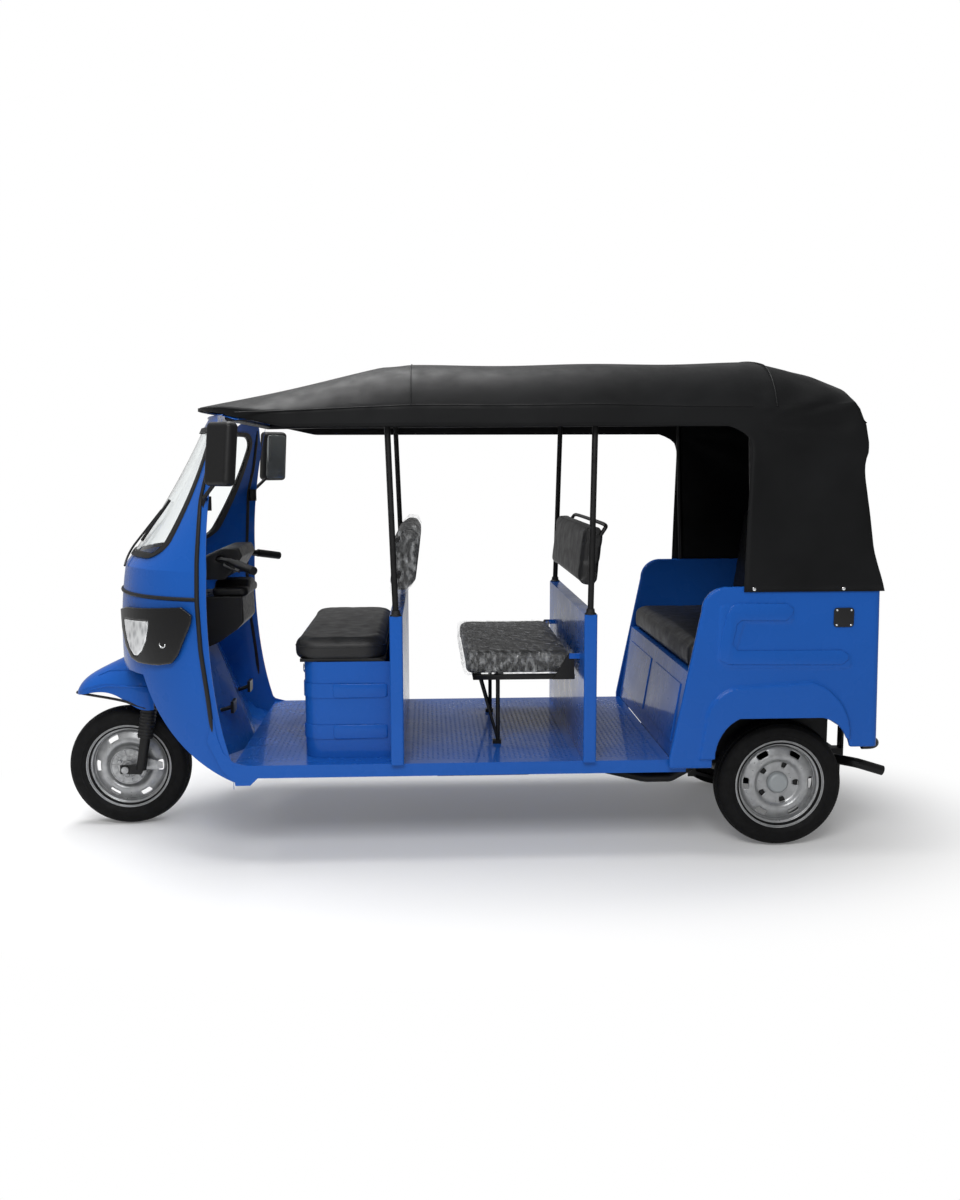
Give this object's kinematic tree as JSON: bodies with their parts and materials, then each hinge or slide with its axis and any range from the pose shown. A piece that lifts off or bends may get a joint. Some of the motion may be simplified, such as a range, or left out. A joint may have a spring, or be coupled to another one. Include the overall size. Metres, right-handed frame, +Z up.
{
  "type": "auto rickshaw",
  "caption": "Open-sided passenger auto rickshaw with a steered front wheel, folding middle seat, tilting driver's seat and a black fabric roof.",
  "frame": {"origin": "on the ground under the middle of the vehicle's length and width", "axes": "+Y toward the rear, +X toward the vehicle's left side, +Z up"},
  "size_m": [1.3958, 3.2106, 1.8509],
  "materials": {
    "body_blue": "glossy blue enamel",
    "frame_black": "satin black paint",
    "clear_glass": "clear laminated glass",
    "black_rubber": "matt black rubber",
    "gloss_black": "glossy black plastic",
    "lamp_glass": "clear lens",
    "black_plastic": "grained black plastic",
    "cast_metal": "as-cast aluminium",
    "black_vinyl": "black vinyl upholstery",
    "red_plastic": "red lens plastic",
    "canopy_fabric": "coated black fabric",
    "wheel_silver": "silver paint",
    "tyre_black": "black tyre rubber"
  },
  "bodies": {
    "body": {"chassis_frame": "frame_black", "floor_pan": "body_blue", "cab_shell": "body_blue", "front_bulkhead": "body_blue", "windscreen_glass": "clear_glass", "windscreen_seal": "black_rubber", "headlamp_bezels": "gloss_black", "headlamp_lenses": "lamp_glass", "front_mudguard": "body_blue", "dash_console": "black_plastic", "pedals": "frame_black", "mirrors": "black_plastic", "engine": "cast_metal", "rear_axle": "frame_black", "leaf_springs": "frame_black", "exhaust": "frame_black", "front_partition": "body_blue", "mid_partition": "body_blue", "seat_box": "body_blue", "canopy_frame": "frame_black", "front_backrest": "black_vinyl", "mid_backrest": "black_vinyl", "bench_riser": "body_blue", "bench_cushion": "black_vinyl", "bench_backrest": "black_vinyl", "rear_side_left": "body_blue", "rear_side_right": "body_blue", "rear_panel": "body_blue", "rear_deck": "body_blue", "rear_bumper": "frame_black", "tail_lamps": "red_plastic", "canopy": "canopy_fabric"},
    "steering": {"fork": "frame_black", "front_axle": "cast_metal", "handlebar": "frame_black", "handlebar_cowl": "black_plastic"},
    "front_wheel": {"front_wheel": "wheel_silver", "front_tyre": "tyre_black"},
    "rear_wheel_left": {"rear_wheel_left": "wheel_silver", "rear_tyre_left": "tyre_black"},
    "rear_wheel_right": {"rear_wheel_right": "wheel_silver", "rear_tyre_right": "tyre_black"},
    "driver_seat": {"driver_cushion": "black_vinyl"},
    "folding_seat": {"folding_seat": "black_vinyl"},
    "folding_leg": {"folding_leg": "frame_black"}
  },
  "joints": [
    {"name": "steer", "type": "hinge", "parent": "body", "child": "steering", "pos_m": [0, -1.2125, 0.6], "axis": [0, 0.342, 0.9397], "range_deg": [-35, 35]},
    {"name": "front_wheel_spin", "type": "hinge", "parent": "steering", "child": "front_wheel", "pos_m": [0, -1.3625, 0.243], "axis": [1, 0, 0], "continuous": true},
    {"name": "rear_wheel_left_spin", "type": "hinge", "parent": "body", "child": "rear_wheel_left", "pos_m": [0.394, 1.1875, 0.243], "axis": [1, 0, 0], "continuous": true},
    {"name": "rear_wheel_right_spin", "type": "hinge", "parent": "body", "child": "rear_wheel_right", "pos_m": [-0.394, 1.1875, 0.243], "axis": [1, 0, 0], "continuous": true},
    {"name": "driver_seat_tilt", "type": "hinge", "parent": "body", "child": "driver_seat", "pos_m": [0, -0.612, 0.73], "axis": [1, 0, 0], "range_deg": [0, 60]},
    {"name": "folding_seat_lift", "type": "hinge", "parent": "body", "child": "folding_seat", "pos_m": [0, 0.3875, 0.749], "axis": [-1, 0, 0], "range_deg": [0, 85]},
    {"name": "folding_leg_tuck", "type": "hinge", "parent": "folding_seat", "child": "folding_leg", "pos_m": [0, 0.1225, 0.641], "axis": [1, 0, 0], "range_deg": [0, 85]}
  ]
}
